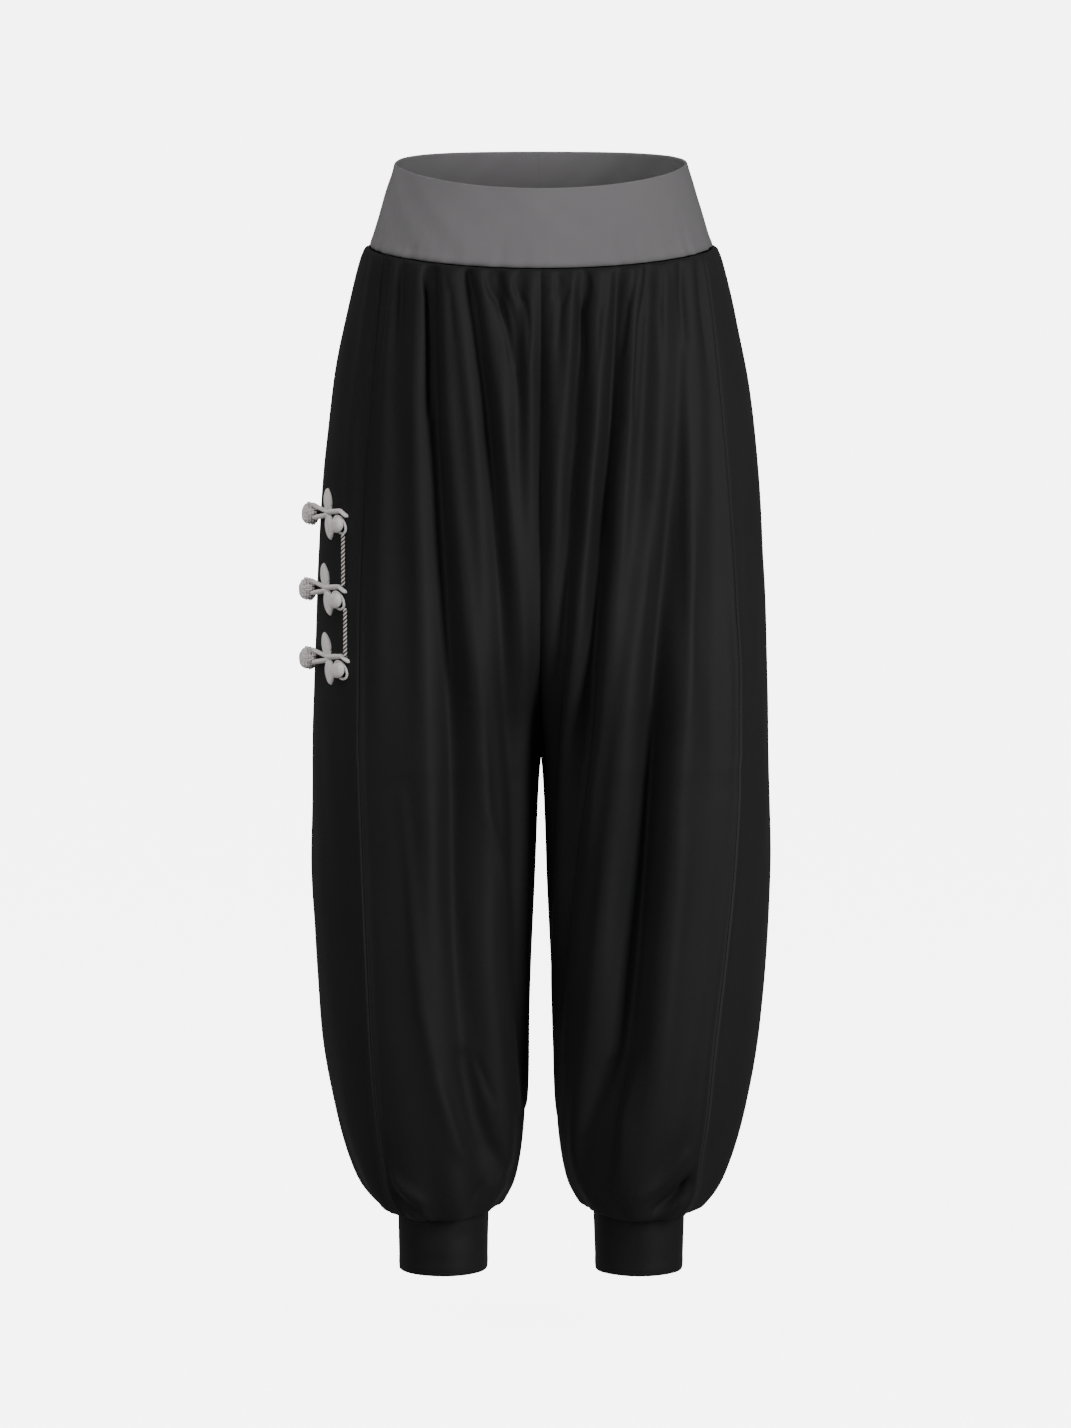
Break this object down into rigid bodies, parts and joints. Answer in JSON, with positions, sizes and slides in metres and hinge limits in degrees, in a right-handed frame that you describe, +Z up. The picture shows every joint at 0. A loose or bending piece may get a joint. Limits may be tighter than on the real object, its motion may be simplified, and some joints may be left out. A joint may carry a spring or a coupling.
{
  "type": "harem pants",
  "caption": "Full-legged jersey trousers with a deep stretch waistband, a low crotch, gathers into plain cuffs, and leaf-shaped frog fastenings down one hip.",
  "frame": {"origin": "the middle of the waist, half way up the waistband, where the wearer holds the trousers", "axes": "+Z up along the body, the front faces -Y, and the wearer's right is at -X"},
  "size_m": [0.4242, 0.2599, 1.0085],
  "materials": {
    "band": "deep grey cotton jersey with a little elastane, two layers, smooth and matt",
    "cloth": "black viscose jersey, soft and matt with a faint sheen on the folds",
    "cuff": "black jersey, two layers, smooth and matt",
    "silver_thread": "padded cord wrapped in pale warm grey satin thread, softly shining",
    "twisted_cord": "two-ply twisted cord of pale warm grey thread"
  },
  "bodies": {
    "root": {"waistband": "band", "front_right": "cloth", "front_left": "cloth", "back_right": "cloth", "back_left": "cloth", "cuff_right": "cuff", "cuff_left": "cuff", "sprig_top": "silver_thread", "eye_top": "silver_thread", "bead_top": "silver_thread", "rosette_top": "silver_thread", "sprig_middle": "silver_thread", "eye_middle": "silver_thread", "bead_middle": "silver_thread", "rosette_middle": "silver_thread", "sprig_bottom": "silver_thread", "eye_bottom": "silver_thread", "bead_bottom": "silver_thread", "rosette_bottom": "silver_thread", "trim_upper": "twisted_cord", "trim_lower": "twisted_cord"}
  },
  "joints": []
}
